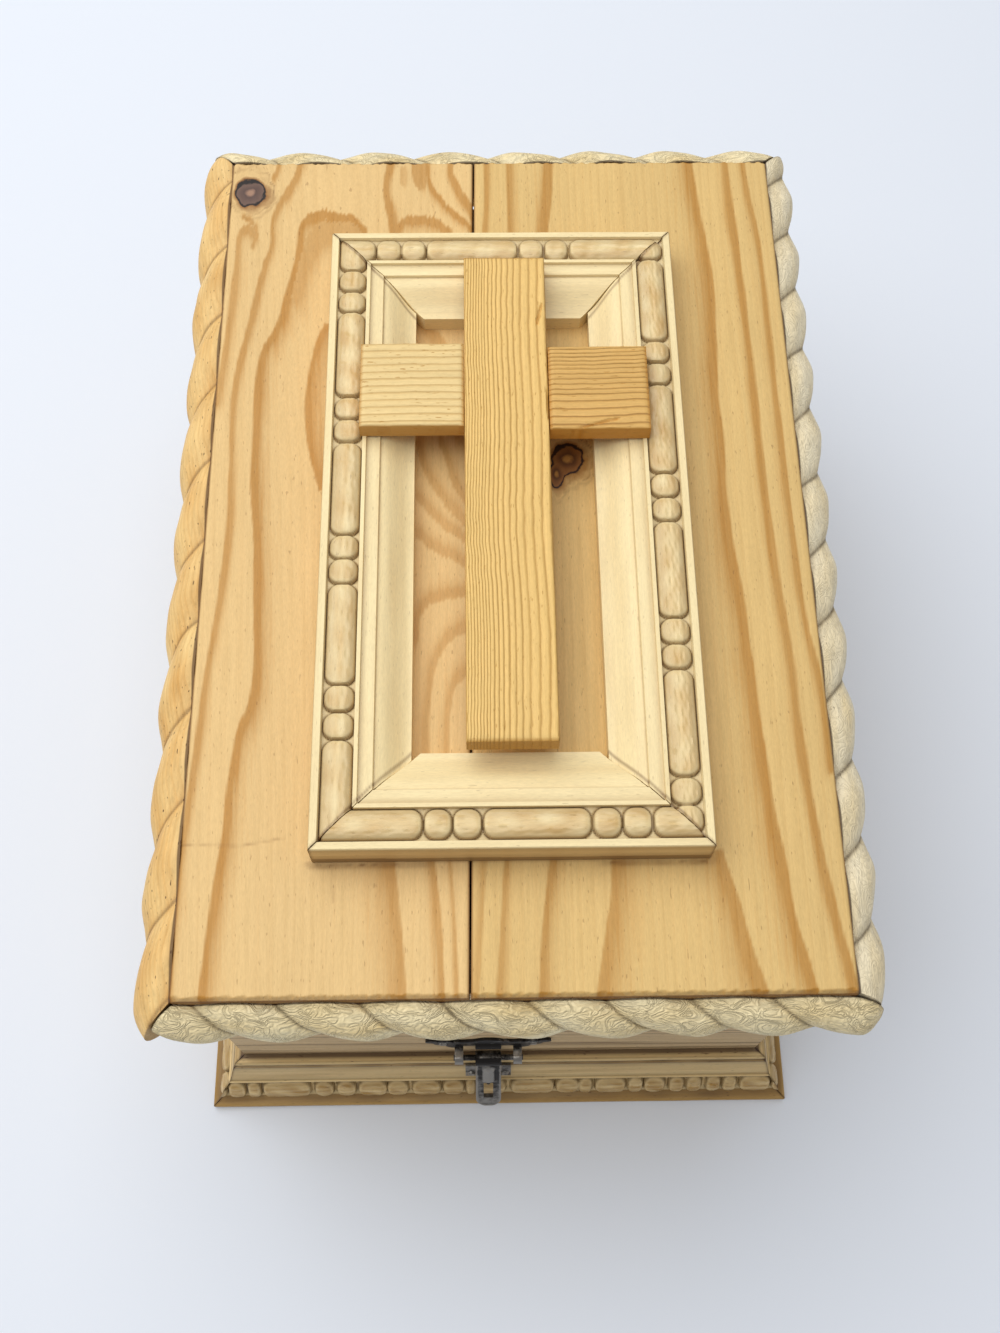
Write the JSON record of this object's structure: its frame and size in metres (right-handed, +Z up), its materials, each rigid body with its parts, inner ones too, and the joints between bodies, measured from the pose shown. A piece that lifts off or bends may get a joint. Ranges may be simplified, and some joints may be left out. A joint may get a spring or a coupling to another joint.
{
  "type": "prayer box",
  "caption": "Pine prayer box: hinged deep cover with a rope-edged lid, bead-moulded frame and plain cross, over a shallow moulded tray, with a small hasp.",
  "frame": {"origin": "centre of the underside of the box, where it rests", "axes": "+Z up to the lid, -Y towards the hasp at the front, +Y towards the hinges, +X to the right as the hasp is faced"},
  "size_m": [0.2113, 0.3148, 0.171],
  "materials": {
    "wall_pine": "bare planed pine",
    "lid_pine": "bare planed pine with strong orange grain",
    "rope_pine": "bare carved pine, slightly fuzzy",
    "frame_moulding": "bare pale moulding",
    "base_moulding": "bare pale moulding",
    "cross_pine": "rough sawn pine with tight grain",
    "hasp_bronze": "darkened, worn bright on the raised places",
    "hinge_brass": "dull plated"
  },
  "bodies": {
    "base": {"base_bottom": "wall_pine", "tray_wall_front": "wall_pine", "tray_wall_back": "wall_pine", "tray_wall_left": "wall_pine", "tray_wall_right": "wall_pine", "base_moulding_front": "base_moulding", "base_moulding_back": "base_moulding", "base_moulding_left": "base_moulding", "base_moulding_right": "base_moulding", "staple_plate": "hasp_bronze", "staple_screws": "hasp_bronze", "hinge_lower_leaf_left": "hinge_brass", "hinge_lower_leaf_right": "hinge_brass", "hinge_pin_left": "hinge_brass", "hinge_pin_right": "hinge_brass", "hinge_screws_lower": "hinge_brass"},
    "cover": {"cover_wall_front": "wall_pine", "cover_wall_back": "wall_pine", "cover_wall_left": "wall_pine", "cover_wall_right": "wall_pine", "lid_board_left": "lid_pine", "lid_board_right": "lid_pine", "rope_front": "rope_pine", "rope_back": "rope_pine", "rope_left": "rope_pine", "rope_right": "rope_pine", "frame_front": "frame_moulding", "frame_back": "frame_moulding", "frame_left": "frame_moulding", "frame_right": "frame_moulding", "cross_post": "cross_pine", "cross_arm_left": "cross_pine", "cross_arm_right": "cross_pine", "hinge_upper_leaf_left": "hinge_brass", "hinge_upper_leaf_right": "hinge_brass", "hinge_screws_upper": "hinge_brass", "hasp_plate": "hasp_bronze", "hasp_pin": "hasp_bronze", "hasp_nails": "hasp_bronze"},
    "hasp_tongue": {"hasp_tongue": "hasp_bronze"}
  },
  "joints": [
    {"name": "cover_hinge", "type": "hinge", "parent": "base", "child": "cover", "pos_m": [0, 0.1496, 0.02875], "axis": [-1, 0, 0], "range_deg": [0, 100]},
    {"name": "hasp_hinge", "type": "hinge", "parent": "cover", "child": "hasp_tongue", "pos_m": [-0.0043, -0.14535, 0.04264], "axis": [-1, 0, 0], "range_deg": [-8, 150]}
  ]
}
